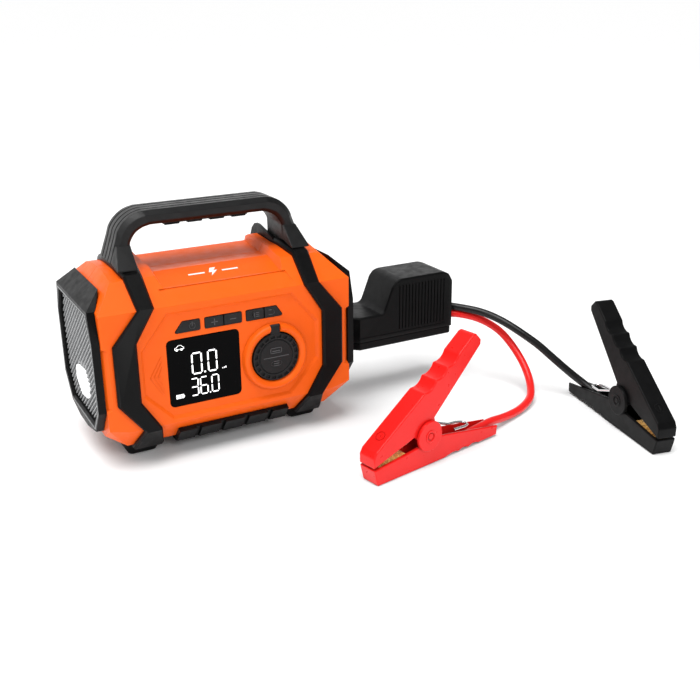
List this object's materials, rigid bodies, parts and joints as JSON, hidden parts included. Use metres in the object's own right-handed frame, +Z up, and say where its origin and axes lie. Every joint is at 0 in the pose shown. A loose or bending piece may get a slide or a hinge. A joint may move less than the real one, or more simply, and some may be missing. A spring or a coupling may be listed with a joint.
{
  "type": "jump starter pack",
  "caption": "Orange portable jump starter and air compressor pack with carry handle, work light, display, capped port and a plug-in lead set with red and black clamps.",
  "frame": {"origin": "on the floor under the middle of the pack, leads and clamps not counted", "axes": "+X along the pack towards the lead socket, -Y out of the display face, +Z up"},
  "size_m": [0.4195, 0.292, 0.1865],
  "materials": {
    "orange_plastic": "bright orange moulded plastic, satin, very fine grain",
    "black_plastic": "black moulded plastic, satin",
    "black_rubber": "black rubber, matt",
    "handle_plastic": "black grained plastic, matt",
    "display_glass": "black glossy display window",
    "reflector_grey": "silver-grey plastic with diagonal ribs",
    "led_white": "white light window",
    "circuit_green": "green circuit board",
    "battery_foil": "foil-wrapped cell",
    "steel": "bright plated steel",
    "copper": "copper-coloured plating",
    "red_plastic": "red moulded plastic, half gloss",
    "red_silicone": "red silicone sheath",
    "black_silicone": "black silicone sheath",
    "lcd_grey": "grey display module"
  },
  "bodies": {
    "pack": {"front_shell": "orange_plastic", "rear_shell": "orange_plastic", "port_ring": "orange_plastic", "left_band": "black_plastic", "right_band": "black_plastic", "bottom_guard": "black_plastic", "light_bezel": "black_plastic", "end_cover": "black_plastic", "jump_socket": "black_plastic", "port_plate": "black_plastic", "foot_front_left": "black_rubber", "foot_front_right": "black_rubber", "foot_rear_left": "black_rubber", "foot_rear_right": "black_rubber", "handle_pad": "black_rubber", "handle": "handle_plastic", "display_window": "display_glass", "display_module": "lcd_grey", "light_reflector": "reflector_grey", "compressor_pump": "reflector_grey", "light_lens": "led_white", "key_board": "circuit_green", "main_board": "circuit_green", "battery_cell_1": "battery_foil", "battery_cell_2": "battery_foil", "battery_cell_3": "battery_foil", "usb_a_port": "steel", "usb_c_port": "steel", "charge_port": "steel", "compressor_motor": "steel", "case_screw_1": "steel", "case_screw_2": "steel", "case_screw_3": "steel", "case_screw_4": "steel", "air_outlet": "copper"},
    "lead_set": {"lead_plug": "black_plastic", "module_top": "black_plastic", "module_base": "black_plastic", "red_lead": "red_silicone", "black_lead": "black_silicone", "red_lower_jaw": "red_plastic", "red_pin": "red_plastic", "red_spring": "steel", "red_lower_liner": "copper", "black_lower_jaw": "black_plastic", "black_pin": "black_plastic", "black_spring": "steel", "black_lower_liner": "copper"},
    "red_jaw": {"red_upper_jaw": "red_plastic", "red_upper_liner": "copper"},
    "black_jaw": {"black_upper_jaw": "black_plastic", "black_upper_liner": "copper"},
    "power_key": {"power_key": "black_rubber"},
    "plus_key": {"plus_key": "black_rubber"},
    "minus_key": {"minus_key": "black_rubber"},
    "light_key": {"light_key": "black_rubber"},
    "return_key": {"return_key": "black_rubber"},
    "port_cap": {"port_cap": "black_rubber"},
    "charge_flap": {"charge_flap": "black_rubber"},
    "cooling_fan": {"cooling_fan": "black_plastic"}
  },
  "joints": [
    {"name": "lead_unplug", "type": "slide", "parent": "pack", "child": "lead_set", "axis": [1, 0, 0], "range_m": [0, 0.03]},
    {"name": "red_jaw_hinge", "type": "hinge", "parent": "lead_set", "child": "red_jaw", "pos_m": [0.1097, -0.14721, 0.02522], "axis": [-0.1908, 0.9816, 0], "range_deg": [0, 35], "stiffness_Nm_per_rad": 0.6, "springref_deg": -20.05},
    {"name": "black_jaw_hinge", "type": "hinge", "parent": "lead_set", "child": "black_jaw", "pos_m": [0.28981, -0.17949, 0.02522], "axis": [-0.9799, 0.1994, 0], "range_deg": [0, 35], "stiffness_Nm_per_rad": 0.6, "springref_deg": -20.05},
    {"name": "power_key_press", "type": "slide", "parent": "pack", "child": "power_key", "axis": [0, 1, 0], "range_m": [0, 0.001], "stiffness_N_per_m": 400},
    {"name": "plus_key_press", "type": "slide", "parent": "pack", "child": "plus_key", "axis": [0, 1, 0], "range_m": [0, 0.001], "stiffness_N_per_m": 400},
    {"name": "minus_key_press", "type": "slide", "parent": "pack", "child": "minus_key", "axis": [0, 1, 0], "range_m": [0, 0.001], "stiffness_N_per_m": 400},
    {"name": "light_key_press", "type": "slide", "parent": "pack", "child": "light_key", "axis": [0, 1, 0], "range_m": [0, 0.001], "stiffness_N_per_m": 400},
    {"name": "return_key_press", "type": "slide", "parent": "pack", "child": "return_key", "axis": [0, 1, 0], "range_m": [0, 0.001], "stiffness_N_per_m": 400},
    {"name": "port_cap_hinge", "type": "hinge", "parent": "pack", "child": "port_cap", "pos_m": [0.0342, -0.0544, 0.095], "axis": [-1, 0, 0], "range_deg": [0, 110]},
    {"name": "charge_flap_hinge", "type": "hinge", "parent": "pack", "child": "charge_flap", "pos_m": [0.1041, -0.0392, 0.0604], "axis": [0, -1, 0], "range_deg": [0, 90]},
    {"name": "fan_spin", "type": "hinge", "parent": "pack", "child": "cooling_fan", "pos_m": [0.0095, 0.022, 0.06], "axis": [1, 0, 0], "continuous": true}
  ]
}
